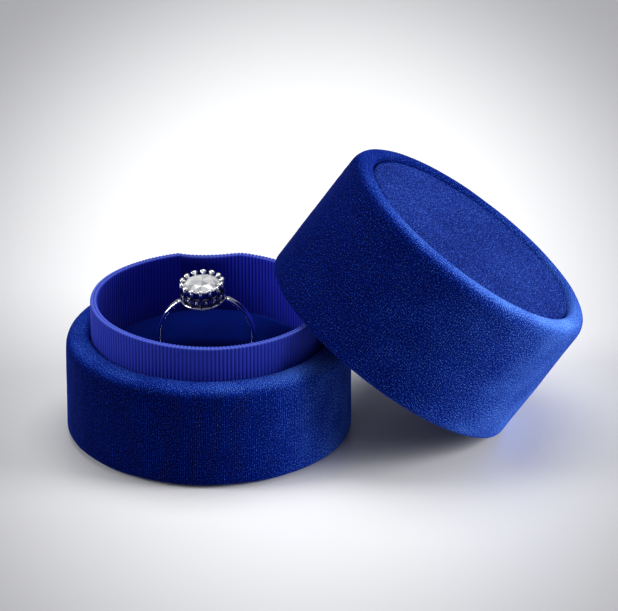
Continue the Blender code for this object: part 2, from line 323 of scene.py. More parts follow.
# %% [markdown]
# Materials are small graphs of nodes. Two helpers keep them short: one adds a node and links or
# sets its inputs, the other opens a node group with named sockets. A group holds an effect that
# several materials share, and puts out colours, values and heights only.

# %% Node helpers
def node(tree, kind, inputs=None, **settings):
    """Adds a node. Each input is a number or colour, or another node's output socket."""
    made = tree.nodes.new("ShaderNode" + kind)
    for name, value in settings.items():
        setattr(made, name, value)
    for key, value in (inputs or {}).items():
        socket = made.inputs[key]
        if isinstance(value, bpy.types.NodeSocket):
            tree.links.new(value, socket)
        else:
            socket.default_value = value
    return made


def maths(tree, operation, *values):
    return node(tree, "Math", dict(enumerate(values)), operation=operation).outputs[0]


def blended(tree, share, first, second):
    """The first colour where share is 0, and the second where it is 1."""
    inputs = {"Factor": share, 6: first, 7: second}
    return node(tree, "Mix", inputs, data_type="RGBA").outputs[2]


def spread(tree, value, low, high, out_low=0.0, out_high=1.0):
    """Maps low..high to out_low..out_high, with soft ends."""
    inputs = {"Value": value, "From Min": low, "From Max": high, "To Min": out_low, "To Max": out_high}
    return node(tree, "MapRange", inputs, interpolation_type="SMOOTHSTEP").outputs["Result"]


def noise(tree, vector, scale, detail=2.0, roughness=0.5):
    inputs = {"Vector": vector, "Scale": scale, "Detail": detail, "Roughness": roughness}
    return node(tree, "TexNoise", inputs).outputs["Fac"]


def stretched(tree, vector, scale):
    return node(tree, "Mapping", {"Vector": vector, "Scale": scale}).outputs["Vector"]


def open_group(name, inputs, outputs):
    """A node group with sockets (name, kind, default), its input node and its output node."""
    tree = bpy.data.node_groups.new(name, "ShaderNodeTree")
    for socket, kind, value in inputs:
        made = tree.interface.new_socket(socket, in_out="INPUT", socket_type="NodeSocket" + kind)
        if value is not None:
            made.default_value = value
    for socket, kind in outputs:
        tree.interface.new_socket(socket, in_out="OUTPUT", socket_type="NodeSocket" + kind)
    return tree, tree.nodes.new("NodeGroupInput").outputs, tree.nodes.new("NodeGroupOutput").inputs


def colour(red, green, blue):
    return (red, green, blue, 1.0)


def new_material(name):
    """A material, its tree of nodes and its Principled shader."""
    made = bpy.data.materials.new(name)
    made.use_nodes = True
    return made, made.node_tree, shader_of(made)


def shader_of(made):
    return made.node_tree.nodes["Principled BSDF"]


def set_inputs(target, values):
    for key, value in values.items():
        target.inputs[key].default_value = value


def effect_of(made):
    """The node in a material that places its group."""
    return [item for item in made.node_tree.nodes if item.type == "GROUP"][0]


def attribute(tree, name):
    return node(tree, "Attribute", attribute_name=name).outputs["Fac"]


# %% [markdown]
# Velvet is a dense pile of short fibres on a woven backing. Seen along the fibres it is nearly
# black, and seen across them it shines. Here that sheen is painted into the colour: the tone follows
# a value of painted sheen and shade, 0 for nearly black and 1 for lit pile. Three finer things break
# it up: a grain of single fibres, of which a few are painted bright as glints, fine lines along the
# rows of the backing, and soft patches where the nap was brushed. The brightest painted sheen turns paler.

# %% The pile group
SPECK_SCALE, NAP_SCALE = 3800.0, 55.0  # features per metre
ROW_PITCH = 0.42 * MM

pile, given, give = open_group(
    "pile",
    [("Cloth", "Vector", None), ("Deep", "Color", colour(0, 0, 0.05)),
     ("Bright", "Color", colour(0, 0.03, 0.3)), ("Pale", "Color", colour(0.1, 0.3, 0.9)),
     ("Tone and painted sheen", "Float", 0.2), ("Specks", "Float", 0.5), ("Rows", "Float", 0.5)],
    [("Color", "Color"), ("Height", "Float")],
)
specks = noise(pile, given["Cloth"], SPECK_SCALE, 1.0, 0.5)
nap = noise(pile, given["Cloth"], NAP_SCALE, 4.0, 0.6)
sway = noise(pile, stretched(pile, given["Cloth"], (420.0, 110.0, 110.0)), 1.0, 2.0)
across = node(pile, "SeparateXYZ", {0: given["Cloth"]}).outputs["X"]
turns = maths(pile, "MULTIPLY_ADD", across, 2 * math.pi / ROW_PITCH, maths(pile, "MULTIPLY", sway, 7.0))
rows = maths(pile, "MULTIPLY", maths(pile, "SINE", turns), spread(pile, sway, 0.35, 0.6, 0.15, 0.5))
row_tone = maths(pile, "MULTIPLY", rows, given["Rows"])
fibres = spread(pile, specks, 0.3, 0.7, -0.28, 0.42)
specked = maths(pile, "ADD", fibres, spread(pile, specks, 0.56, 0.76, 0.0, 0.55))
speck_tone = maths(pile, "MULTIPLY", specked, given["Specks"])
tone = maths(pile, "MULTIPLY", given["Tone and painted sheen"], spread(pile, nap, 0.3, 0.7, 0.80, 1.14))
# Specks and rows show more where the painted sheen is brighter.
lively = maths(pile, "MULTIPLY_ADD", given["Tone and painted sheen"], 0.4, 0.34)  # open pile shows them more
detail = maths(pile, "ADD", maths(pile, "MULTIPLY", row_tone, 0.35), speck_tone)
tone = maths(pile, "MULTIPLY_ADD", detail, lively, tone)
dyed = blended(pile, tone, given["Deep"], given["Bright"])
# Painted highlight: the brightest painted sheen blends towards the pale colour.
pile.links.new(blended(pile, spread(pile, tone, 0.16, 1.0), dyed, given["Pale"]), give["Color"])
pile.links.new(maths(pile, "ADD", specks, maths(pile, "MULTIPLY", row_tone, 0.5)), give["Height"])
print("the pile group has", len(pile.nodes), "nodes")

# %% [markdown]
# Grosgrain is woven with thick weft cords that run across the ribbon, so it has ribs. The ribs
# are in the shape itself. The group adds what is too small for it: the valley between two ribs is
# darker, fine warp threads cross each rib, and the dye is a little uneven.

# %% The weave group
weave, given, give = open_group(
    "weave",
    [("Cloth", "Vector", None), ("Pitch", "Float", 0.00076), ("Valley", "Color", colour(0, 0, 0.1)),
     ("Rib", "Color", colour(0, 0.05, 0.4))],
    [("Color", "Color"), ("Height", "Float")],
)
across = node(weave, "SeparateXYZ", {0: given["Cloth"]}).outputs
turns = maths(weave, "MULTIPLY", maths(weave, "DIVIDE", across["X"], given["Pitch"]), math.pi)
crest = maths(weave, "POWER", maths(weave, "ABSOLUTE", maths(weave, "SINE", turns)), 0.7)
threads = noise(weave, stretched(weave, given["Cloth"], (1300.0, 5200.0, 1300.0)), 1.0, 1.0)
dye = noise(weave, given["Cloth"], 160.0, 2.0)
tone = maths(weave, "MULTIPLY", crest, spread(weave, threads, 0.25, 0.7, 0.72, 1.0))
tone = maths(weave, "MULTIPLY", tone, spread(weave, dye, 0.2, 0.8, 0.86, 1.06))
weave.links.new(blended(weave, tone, given["Valley"], given["Rib"]), give["Color"])
weave.links.new(maths(weave, "ADD", threads, maths(weave, "MULTIPLY", crest, 0.5)), give["Height"])
print("the weave group has", len(weave.nodes), "nodes")

# %% [markdown]
# Polished silver is never a perfect mirror: hairline scratches from wear spread the reflection a
# little. On the ring's head the gallery is painted darker, as painted shade and dark reflection. Card,
# foam and moulded plastic have a grain of their own. One group serves all of them: a fine grain, a
# coarse mottle, and a mask to darken by.

# %% The grain group
grain, given, give = open_group(
    "grain",
    [("Place", "Vector", None), ("Scale", "Float", 1500.0), ("Light", "Color", colour(0.5, 0.5, 0.5)),
     ("Dark", "Color", colour(0.3, 0.3, 0.3)), ("Smooth", "Float", 0.4), ("Rough", "Float", 0.6)],
    [("Color", "Color"), ("Roughness", "Float"), ("Height", "Float")],
)
fine = noise(grain, given["Place"], given["Scale"], 3.0, 0.6)
mottle = noise(grain, given["Place"], maths(grain, "DIVIDE", given["Scale"], 9.0), 2.0)
tone = maths(grain, "ADD", maths(grain, "MULTIPLY", fine, 0.6), maths(grain, "MULTIPLY", mottle, 0.4))
tone = spread(grain, tone, 0.35, 0.65)
grain.links.new(blended(grain, tone, given["Light"], given["Dark"]), give["Color"])
roughness = node(grain, "MapRange", {0: tone, 3: given["Smooth"], 4: given["Rough"]}).outputs[0]
grain.links.new(roughness, give["Roughness"])
grain.links.new(fine, give["Height"])
print("the grain group has", len(grain.nodes), "nodes")


# %% [markdown]
# A material places a group, gives it its own values, and feeds a Principled shader. Numbers that
# are the same all over, such as the strength of the sheen, are set on the shader itself.

# %% From a group to a material
def material(name, group, values, place, bump, constants):
    """A Principled material fed by a group. place is the texture coordinate that the group reads.

    bump is (strength, distance in metres), and constants are the shader's own plain values.
    """
    made, tree, shader = new_material(name)
    effect = tree.nodes.new("ShaderNodeGroup")
    effect.node_tree = group
    coordinates = node(tree, "TexCoord").outputs[place]
    set_inputs(effect, values)
    tree.links.new(coordinates, effect.inputs[0])
    tree.links.new(effect.outputs["Color"], shader.inputs["Base Color"])
    if "Roughness" in effect.outputs:
        tree.links.new(effect.outputs["Roughness"], shader.inputs["Roughness"])
    relief = node(tree, "Bump", {"Strength": bump[0], "Distance": bump[1],
                                 "Height": effect.outputs["Height"]})
    tree.links.new(relief.outputs["Normal"], shader.inputs["Normal"])
    set_inputs(shader, constants)
    return made


def tinted(made, mark_name, strength, tint):
    """Takes the base colour towards a tint, by an attribute of the mesh times the strength."""
    tree, base = made.node_tree, shader_of(made).inputs["Base Color"]
    share = maths(tree, "MULTIPLY", attribute(tree, mark_name), strength)
    tree.links.new(blended(tree, share, base.links[0].from_socket, tint), base)
    return made


# %% Velvets
# Deep to Bright is the range the painted sheen and shade move through; Pale tints the brightest painted
# sheen.
VELVET_DYE_AND_SHEEN = {"Deep": colour(0.0, 0.0, 0.014), "Bright": colour(0.002, 0.055, 0.88),
              "Pale": colour(0.17, 0.40, 0.92)}
VELVET_SHEEN = {"Roughness": 0.85, "Specular IOR Level": 0.02, "Sheen Weight": 0.45,
                "Sheen Roughness": 0.24, "Sheen Tint": colour(0.02, 0.09, 1.0)}


def velvet(name, place, tone_and_painted_sheen, specks, rows, dye=VELVET_DYE_AND_SHEEN):
    """A velvet. Where no even value is given, the material reads its painted sheen and shade from the
    cloth's own attribute.
    """
    values = dye | {"Tone and painted sheen": tone_and_painted_sheen or 0.0, "Specks": specks, "Rows": rows}
    made = material(name, pile, values, place, (0.5, 0.12 * MM), VELVET_SHEEN)
    if tone_and_painted_sheen is None:
        made.node_tree.links.new(attribute(made.node_tree, "tone_and_painted_sheen"), effect_of(made).inputs["Tone and painted sheen"])
    return made


# The walls' velvets read their painted sheen and shade from the cloth; the disc and the pad get one even
# value.
velvet_base = velvet("velvet_base", "UV", None, 0.68, 1.0)
velvet_lid = velvet("velvet_lid", "UV", None, 0.80, 0.9)
velvet_disc = velvet("velvet_disc", "Object", 0.15, 0.78, 0.0,
                     VELVET_DYE_AND_SHEEN | {"Bright": colour(0.032, 0.098, 0.86)})
velvet_pad = velvet("velvet_pad", "Object", 0.10, 0.10, 0.0)
print("four velvets share the group, and those on the walls read their lay from the cloth")

# %% Ribbon, silver, card, moulding and foam
RIBS = 188
RIB_PITCH = 2 * math.pi * 22.64 * MM / RIBS  # round the outside of the collar
RIBBON_FINISH = {"Roughness": 0.6, "Specular IOR Level": 0.12, "Sheen Weight": 0.25,
                 "Sheen Roughness": 0.4, "Sheen Tint": colour(0.3, 0.4, 1.0)}


def grosgrain(name, valley, rib):
    """A ribbon: its two tones, one plain tone where the ends lap, and a painted highlight along the
    selvedge.
    """
    made = material(name, weave, {"Pitch": RIB_PITCH, "Valley": valley, "Rib": rib}, "UV",
                    (0.4, 0.05 * MM), RIBBON_FINISH)
    tinted(made, "plain", 1.0, colour(0.006, 0.012, 0.33))
    # A painted highlight along the selvedge, where the light falls on the top edge.
    return tinted(made, "selvedge", 0.55, colour(0.13, 0.20, 0.85))


def grainy(name, scale, light, dark, roughness, bump, **constants):
    """A plain material of the grain group. roughness is that of its light and its dark grain."""
    values = {"Scale": scale, "Light": light, "Dark": dark, "Smooth": roughness[0], "Rough": roughness[1]}
    return material(name, grain, values, "Object", bump, constants)


ribbon_outside = grosgrain("ribbon_outside", colour(0.005, 0.011, 0.23), colour(0.016, 0.034, 0.44))
# The lining is the same ribbon with a lighter copy of its colours: painted light on the shaded inside of
# the collar.
ribbon_inside = grosgrain("ribbon_inside", colour(0.006, 0.010, 0.25), colour(0.017, 0.030, 0.64))
silver = grainy("silver", 2500.0, colour(0.94, 0.94, 0.95), colour(0.84, 0.85, 0.88), (0.04, 0.16),
                (0.05, 0.01 * MM), Metallic=1.0)
# The head's copy of the silver is a little rougher, and takes painted shade and dark reflection from an
# attribute of the head.
silver_with_painted_shade = silver.copy()
silver_with_painted_shade.name = "silver_with_painted_shade"
set_inputs(effect_of(silver_with_painted_shade), {"Smooth": 0.22, "Rough": 0.34})
tinted(silver_with_painted_shade, "painted_shade", 1.0, colour(0.10, 0.10, 0.12))
card = grainy("card", 1800.0, colour(0.46, 0.43, 0.37), colour(0.30, 0.27, 0.22), (0.75, 0.95),
              (0.5, 0.05 * MM))
moulding = grainy("moulding", 900.0, colour(0.020, 0.021, 0.026), colour(0.012, 0.012, 0.016),
                  (0.38, 0.52), (0.25, 0.03 * MM))
foam = grainy("foam", 1100.0, colour(0.78, 0.76, 0.66), colour(0.52, 0.50, 0.42), (0.9, 1.0),
              (0.9, 0.3 * MM))
print("the ribbon has", RIBS, "ribs,", round(RIB_PITCH / MM, 3), "mm apart")

# %% [markdown]
# The stone is cut zirconia: clear, very smooth, and so strong in refraction that its facets throw
# most of the light back out. Each facet then looks pale or grey as a whole, by what it happens to
# return, so that reflection is painted: the stone carries one number for each facet, a painted
# reflection from grey to white, and only part of it is clear.

# %% The stone's material
stone_glass, tree, shader = new_material("stone")
haze = noise(tree, node(tree, "TexCoord").outputs["Object"], 900.0)
tree.links.new(spread(tree, haze, 0.4, 0.8, 0.0, 0.04), shader.inputs["Roughness"])
# Each facet's painted reflection takes its colour from grey to white.
painted_reflection = blended(tree, attribute(tree, "painted_reflection"), colour(0.22, 0.22, 0.30), colour(1.0, 1.0, 1.0))
tree.links.new(painted_reflection, shader.inputs["Base Color"])
set_inputs(shader, {"IOR": 2.15, "Transmission Weight": 0.22})
print("the stone bends light by", shader.inputs["IOR"].default_value)

# %% [markdown]
# The stage is a pale table under soft light. Velvet shows its shape by the sheen at its edges, so
# large soft lamps stand at both sides and a little behind, the one on the right the stronger, and
# the front is left to the weak light of the room. A wide lamp above lights the tops.

# %% The stage
POOL_INNER, POOL_OUTER = 0.026, 0.096  # half widths between which the pool of light fades
POOL_CENTRE = (0.019, 0.066, 0.0)
POOL_SHARE = 0.42  # the pool is an oval: its depth counts for less than its width

table_mesh = mesh_of("table", [turned(np.array([[4.0, 0], [0.3, 0], [0.0001, 0]]), 96)], close_rows=False)
table_top = bpy.data.objects.new("table", table_mesh)
table_mesh.transform(Matrix.Translation((0.02, 0, -0.03 * MM)))
bpy.context.scene.collection.objects.link(table_top)
tabletop, tree, shader = new_material("tabletop")
spot = node(tree, "TexCoord").outputs["Object"]
oval = node(tree, "Mapping", {"Vector": spot, "Location": POOL_CENTRE, "Scale": (1.0, 1 / POOL_SHARE, 1.0)},
            vector_type="TEXTURE").outputs["Vector"]
radius = node(tree, "VectorMath", {0: oval}, operation="LENGTH").outputs["Value"]
# A pool of light painted into the table's colour: near white round the box, grey further out.
pool = spread(tree, radius, POOL_INNER, POOL_OUTER)
tree.links.new(blended(tree, pool, colour(0.93, 0.93, 0.94), colour(0.34, 0.34, 0.355)),
               shader.inputs["Base Color"])
set_inputs(shader, {"Roughness": 0.28, "Specular IOR Level": 0.25})
table_mesh.materials.append(tabletop)


# %% The lamps and the room
def soft_lamp(name, place, aim, size, power):
    data = bpy.data.lights.new(name, "AREA")
    data.shape = "RECTANGLE"
    data.size, data.size_y = size
    data.energy = power
    lamp = bpy.data.objects.new(name, data)
    lamp.location = place
    lamp.rotation_euler = (Vector(aim) - Vector(place)).to_track_quat("-Z", "Y").to_euler()
    bpy.context.scene.collection.objects.link(lamp)


soft_lamp("lamp_right", (0.80, -0.10, 0.30), (0.03, 0, 0.02), (0.4, 0.4), 8.0)
soft_lamp("lamp_left", (-0.80, -0.05, 0.38), (0.0, 0, 0.02), (0.3, 0.5), 4.5)
soft_lamp("lamp_above", (0.05, 0.25, 0.95), (0.02, 0, 0.02), (0.8, 0.6), 6.0)
world = bpy.data.worlds.new("room")
world.use_nodes = True
set_inputs(world.node_tree.nodes["Background"], {"Color": colour(0.93, 0.95, 1.0), "Strength": 0.22})
bpy.context.scene.world = world
bpy.context.scene.view_settings.view_transform = "Standard"
print("three soft lamps and the room's own light")

# %% [markdown]
# ## The base
# The drum's wall and shoulder are one strip of velvet, glued down over the moulding and turned
# under at the foot. Its ends meet in a butt seam at the back. The cloth follows the moulding, so
# it is a turned shell with small lumps and with a narrow groove where the ends meet.

# %% The base's velvet
DRUM_RADIUS = 27.5 * MM
CLOTH = 0.6 * MM
FINE_STEP = 0.35 * MM
ROUND_COLUMNS = 420


def seam_groove(angle, at, radius, depth=0.28 * MM, width=0.32 * MM):
    """Minus depth times a bell of the distance round the drum from the seam."""
    away = (angle - at + np.pi) % (2 * np.pi) - np.pi
    return -depth * np.exp(-((away * radius / width) ** 2))


def velvet_lift(seed, seam_at, wall):
    """Lumps of two sizes all over, and a seam between the two heights of the wall."""
    def lift(points, angle):
        uneven = 0.045 * MM * lumps(points, 9 * MM, seed) + 0.012 * MM * lumps(points, 2.2 * MM, seed + 1)
        outer = np.hypot(points[..., 0], points[..., 1]) > DRUM_RADIUS - 3 * MM
        height = points[..., 2]
        on_wall = outer * np.clip((height - wall[0]) / MM, 0, 1) * np.clip((wall[1] - height) / MM, 0, 1)
        return uneven + on_wall * seam_groove(angle, seam_at, DRUM_RADIUS)
    return lift


def paint_sheen_and_shade(mesh, home, right, power, low, high, shoulder):
    """Paints sheen and shade into the velvet: lighter towards one side of the drum, and where the shoulder
    bends.

    Round the drum the painted sheen goes from low to high by the share (1 + cos) / 2 of the angle
    from that side, raised to a power. shoulder is (height where it starts, height where it is full,
    the least and the most painted sheen there, the side where it is most).
    """
    x, y, z = ((points_of(mesh) - home["origin"]) @ home["axes"].T).T
    angle = np.arctan2(y, x)
    tone_and_painted_sheen = low + (high - low) * (0.5 + 0.5 * np.cos(angle - right)) ** power
    start, full, least, most, side = shoulder
    share = eased((z - start) / (full - start))
    tone_and_painted_sheen += share * (least + (most - least) * (0.5 + 0.5 * np.cos(angle - side)) ** 1.5 - tone_and_painted_sheen)
    tone_and_painted_sheen *= 1 + 0.10 * lumps(np.stack([x, y, z], axis=1), 7 * MM, 41)
    mark(mesh, "tone_and_painted_sheen", tone_and_painted_sheen)
    return mesh


def drum_velvet(name, corners, lift, tone_and_painted_sheen, finish, body, home, stands_for):
    """A drum's velvet: a turned shell with lumps and a seam, painted with sheen and shade, and cut as one
    strip.
    """
    grid = cloth_shell(corners, CLOTH, FINE_STEP, ROUND_COLUMNS, lift)
    cloth = paint_sheen_and_shade(cleaned(mesh_of(name, [in_frame(grid, home)])), home, *tone_and_painted_sheen)
    piece(cloth, finish, body, [stands_for])


# %% The wrap and the foot
FOOT_RADIUS, FOOT_THICKNESS = 24 * MM, 0.8 * MM
base_wrap_corners = [
    (22.94 * MM, 17.7 * MM),
    (22.94 * MM, 20.85 * MM, 0.9 * MM),
    (DRUM_RADIUS, 20.3 * MM, 2.8 * MM),
    (DRUM_RADIUS, 0.25 * MM, 1.6 * MM),
    (24.6 * MM, 0.25 * MM),
]
# The base's painted sheen and shade: lighter towards the right, darker to the left and front, and a painted
# highlight along the shoulder.
drum_velvet("base_velvet", base_wrap_corners, velvet_lift(11, math.radians(80), (0.5 * MM, 20 * MM)),
            (math.radians(5), 2.5, 0.03, 0.32, (18.6 * MM, 20.6 * MM, 0.22, 0.37, math.radians(5))),
            velvet_base, "base", BASE, "base_velvet_wrap")

foot_corners = [(0, 0), (FOOT_RADIUS, 0, 0.25 * MM), (FOOT_RADIUS, FOOT_THICKNESS, 0.25 * MM),
                (0, FOOT_THICKNESS)]
base_foot = piece(turned_solid("base_foot", foot_corners, 0.6 * MM, 180, BASE, 2e-7),
                  velvet_disc, "base", ["base_foot_disc"])

# %% [markdown]
# ## The collar
# A card tube carries the ribbon: one length round the outside and one inside. Each rib is an
# upright ridge, so the ribbon is a turned band whose radius swings once for every rib. Its upper
# edge is a selvedge that loops round each rib, a small scallop. At the back the ends of the
# lining lap over each other: the ribs stop there and the edge dips a little.

# %% The collar's rim and ribs
COLLAR_TOP = 27.15 * MM
OUTSIDE_RADIUS, OUTSIDE_FOOT = 22.64 * MM, 14 * MM
INSIDE_RADIUS, INSIDE_FOOT = 21.49 * MM, 9 * MM
RIBBON_THICKNESS = 0.3 * MM
LAP_FROM, LAP_TO = math.radians(73.5), math.radians(105.5)
RIB_COLUMNS = RIBS * 8


def lap_share(angle, soft=0.06):
    """1 between the ends of the lap, 0 elsewhere, with one soft end and one sharp end."""
    return eased((angle - LAP_FROM) / (5 * soft)) * np.clip((LAP_TO - angle) / (0.15 * soft), 0, 1)


def rim_height(angle):
    """The rim is nearly level, and sinks at the lap: softly from one side, from a corner at the seam."""
    middle = math.radians(91.0)
    past = angle > middle
    half = np.where(past, LAP_TO - middle, math.radians(18))
    hollow = np.clip(1 - ((angle - middle) / half) ** 2, 0, 1) ** np.where(past, 0.8, 1.5)
    wander = 0.10 * MM * np.sin(2 * angle + 0.6) + 0.05 * MM * np.sin(5 * angle)
    return wander - 0.85 * MM * hollow


def ribbon_grid(radius, foot, depth, facing, reach, lap=0.0, flat_lap=0.0):
    """A closed band of ribbon. The side that shows is ribbed, and faces out (1) or in (-1).

    The radius gains depth times the sine of half the rib's angle, raised to 0.7, less its mean.
    At the top the selvedge rolls over the card's edge, as far as reach in millimetres. The lap
    adds its own thickness towards the side that shows, and flattens the ribs there.
    """
    angle = full_circle(RIB_COLUMNS)
    phase = np.abs(np.sin(RIBS * angle / 2))
    rib = depth * (phase**0.7 - 0.7) * (1 - flat_lap * lap_share(angle)) + lap * lap_share(angle)
    scallop = 0.16 * MM * (phase**0.8 - 1)
    top = COLLAR_TOP + rim_height(angle)
    heights = np.array([0, 0.25, 0.5, 0.75, 0.93, 1.0])[:, None]
    selvedge = np.array([0, 0, 0, 0, 0.02, 0.07])[:, None] * MM
    face_z = foot + heights * (top - 0.28 * MM - foot)
    shown_r, shown_z = radius + facing * (rib + selvedge), face_z
    fold = [(0.03, -0.10), (-0.12, 0.06), (-0.30, 0.12), (-reach * 0.75, 0.10), (-reach, 0.0)]
    edge_r = [radius + facing * (rib * 0.5 + out * MM) for out, _ in fold]
    edge_z = [top + rise * MM + scallop for _, rise in fold]
    hidden_r = np.repeat(radius - facing * (RIBBON_THICKNESS - rib[None] * 0.2), 4, axis=0)
    hidden_z = np.concatenate([top[None] - 0.22 * MM, face_z[[4, 2, 0]]])
    r = np.concatenate([shown_r, np.stack(edge_r), hidden_r])
    z = np.concatenate([shown_z, np.stack(edge_z), hidden_z])
    return polar(r, angle, z)


def ribbon(name, finish, stands_for, lapped, radius, foot, *shape):
    """A ribbon piece. Its attribute selvedge is 1 along the upper edge, and plain is 1 at the lap."""
    mesh = cleaned(mesh_of(name, [ribbon_grid(radius, foot, *shape)], across=RIBS * RIB_PITCH))
    x, y, z = points_of(mesh).T
    angle = np.arctan2(y, x) % (2 * np.pi)
    below = COLLAR_TOP + rim_height(angle) - z
    # The selvedge mask marks where the painted highlight falls.
    selvedge = np.clip((0.14 * MM - below) / (0.10 * MM), 0, 1)
    mark(mesh, "selvedge", selvedge)
    mark(mesh, "plain", lapped * lap_share(angle))
    piece(mesh, finish, "base", [stands_for])


ribbon("collar_ribbon_outside", ribbon_outside, "collar_ribbon", 0.0,
       OUTSIDE_RADIUS, OUTSIDE_FOOT, 0.16 * MM, 1, 0.62)
ribbon("collar_ribbon_inside", ribbon_inside, "collar_lining", 1.0,
       INSIDE_RADIUS, INSIDE_FOOT, 0.12 * MM, -1, 0.50, 0.16 * MM, 0.92)

# %% The card tube between them
TUBE_OUTER, TUBE_INNER = 22.24 * MM, 21.89 * MM
TUBE_FOOT = 3 * MM
tube_angle = full_circle(240)
tube_top = COLLAR_TOP - 3.5 * MM + rim_height(tube_angle)  # above the foot, just under the ribbon's fold
tube_grid = np.stack([polar(radius, tube_angle, TUBE_FOOT + share * tube_top) for radius, share in
                      ((TUBE_OUTER, 0), (TUBE_OUTER, 1), (TUBE_INNER, 1), (TUBE_INNER, 0))])
card_mesh = cleaned(mesh_of("collar_tube", [tube_grid]))
card_mesh.shade_flat()
piece(card_mesh, card, "base", ["collar_card"])

# %% [markdown]
# ## The cushion
# Two half rounds of foam under velvet press on the ring from both sides. Each is a crowned form:
# its top swells to the middle and rolls over into the slit and down to the collar. The start is a
# shape computed on a grid. Then it is blown up a little as cloth, which gives it the soft and
# slightly uneven swell of a stuffed piece, and pressed back where the ring and the collar stand.

# %% A half round, before it is stuffed
SLIT_NORMAL = unit(RING["axes"][1] * [0, 1, 1])
CUSHION_RADIUS = 21.2 * MM
CUSHION_FOOT = 4.5 * MM
CROWN, EDGE_DROP = 19.0 * MM, 3.4 * MM
SHANK_HALF = 0.9 * MM


def slit_half_width(x):
    """Half the slit's width: the ring's own beside it, and nearly shut beyond it."""
    beyond = eased((np.abs(x - RING["origin"][0]) - 10.0 * MM) / (1.6 * MM))
    return SHANK_HALF + 0.12 * MM - 0.85 * MM * beyond


def slit_y(x, z, side):
    """Where the slit's wall is: the plane through the ring's centre, square to the slit's normal."""
    offset = side * slit_half_width(x) - (z - RING["origin"][2]) * SLIT_NORMAL[2]
    return offset / SLIT_NORMAL[1] + RING["origin"][1]


def half_round(name, side, shrink):
    """Loops across the half, one for each x: up the slit's wall, over the crown, down, and back."""
    radius = CUSHION_RADIUS - shrink
    reach = math.sqrt(radius**2 - (1.2 * MM + shrink) ** 2)
    x = reach * np.sin(np.linspace(-np.pi / 2, np.pi / 2, 61))[None, :]
    rim = side * np.sqrt(np.maximum(radius**2 - x**2, 0))
    over = np.linspace(0, 1, 22)[:, None]
    near = slit_y(x, CROWN, side) + side * shrink
    y = near + over * (rim - near)
    crown = CROWN - shrink - EDGE_DROP * (np.hypot(x, y) / CUSHION_RADIUS) ** 2.2
    edge = 1.5 * MM
    from_slit, from_rim = np.abs(y - near), np.abs(rim - y)
    for away in (from_slit, from_rim):
        crown = crown - edge * (1 - np.sqrt(1 - np.clip(1 - away / edge, 0, 1) ** 2))
    up = np.linspace(0, 1, 9)[:-1, None]
    wall_z = CUSHION_FOOT + shrink + up * (crown[:1] - CUSHION_FOOT - shrink)
    slit_wall = np.minimum(side * rim, side * (slit_y(x, wall_z, side) + side * shrink)) * side
    rim_z = CUSHION_FOOT + shrink + up[::-1] * (crown[-1:] - CUSHION_FOOT - shrink)
    under_y = rim + np.linspace(0, 1, 14)[1:-1, None] * (slit_wall[:1] - rim)
    ys = np.concatenate([slit_wall, y, np.repeat(rim, len(up), 0), under_y])
    zs = np.concatenate([wall_z, crown, rim_z, np.full_like(under_y, CUSHION_FOOT + shrink)])
    grid = np.stack([np.broadcast_to(x, ys.shape), ys, zs], axis=2)
    return cleaned(mesh_of(name, [grid], close_columns=False), 2e-6)


# %% [markdown]
# Blender's cloth works best at the size of furniture, so the shape is simulated ten times as
# large and then brought back. The pad starts a little small, pressure swells it, and no point
# may move further than a cap.

# %% Stuffing
ENLARGE = 10.0


def applied(obj):
    """The object's mesh with its modifiers applied, as points and a fresh mesh."""
    graph = bpy.context.evaluated_depsgraph_get()
    mesh = bpy.data.meshes.new_from_object(obj.evaluated_get(graph))
    obj.modifiers.clear()
    return mesh


def stuffed(mesh, voxel, cap, press):
    """Remeshes a closed mesh, swells it as cloth, caps the movement, and presses it into place."""
    obj = bpy.data.objects.new(mesh.name + "_start", mesh)
    bpy.context.scene.collection.objects.link(obj)
    mesh.vertices.foreach_set("co", (points_of(mesh) * ENLARGE).ravel())
    remesh = obj.modifiers.new("even", "REMESH")
    remesh.mode, remesh.voxel_size = "VOXEL", voxel * ENLARGE
    obj.data = applied(obj)
    start = points_of(obj.data)
    swell = obj.modifiers.new("swell", "CLOTH")
    swell.settings.use_pressure = True
    swell.settings.uniform_pressure_force = 4.0
    swell.settings.effector_weights.gravity = 0.0
    swell.settings.quality = 5
    for step in range(1, 21):
        bpy.context.scene.frame_set(step)
    obj.data = applied(obj)
    bpy.context.scene.frame_set(1)
    moved = points_of(obj.data) - start
    length = np.linalg.norm(moved, axis=1)[:, None]
    moved *= np.minimum(1, cap * ENLARGE / np.maximum(length, 1e-9))
    finished = obj.data.copy()
    finished.vertices.foreach_set("co", press((start + moved) / ENLARGE).astype(np.float32).ravel())
    bpy.data.objects.remove(obj)
    reworked(finished, lambda work: bmesh.ops.smooth_vert(
        work, verts=work.verts, factor=0.5, use_axis_x=True, use_axis_y=True, use_axis_z=True))
    name, mesh.name = mesh.name, mesh.name + "_start"
    finished.name = name
    print(name, "swelled by up to", round(length.max() / ENLARGE / MM, 2), "mm")
    return finished


def pressed_half(side):
    def press(points):
        """Keeps the half inside the collar, clear of the ring, and above its board."""
        x, y, z = points.T.copy()
        r = np.hypot(x, y)
        inside = np.minimum(r, CUSHION_RADIUS) / np.maximum(r, 1e-9)
        x, y = x * inside, y * inside
        wall = slit_y(x, z, side)
        y = side * np.maximum(side * y, side * wall)
        return np.stack([x, y, np.maximum(z, CUSHION_FOOT)], axis=1)
    return press


def subdivided(obj):
    smooth = obj.modifiers.new("smooth", "SUBSURF")
    smooth.levels = smooth.render_levels = 1


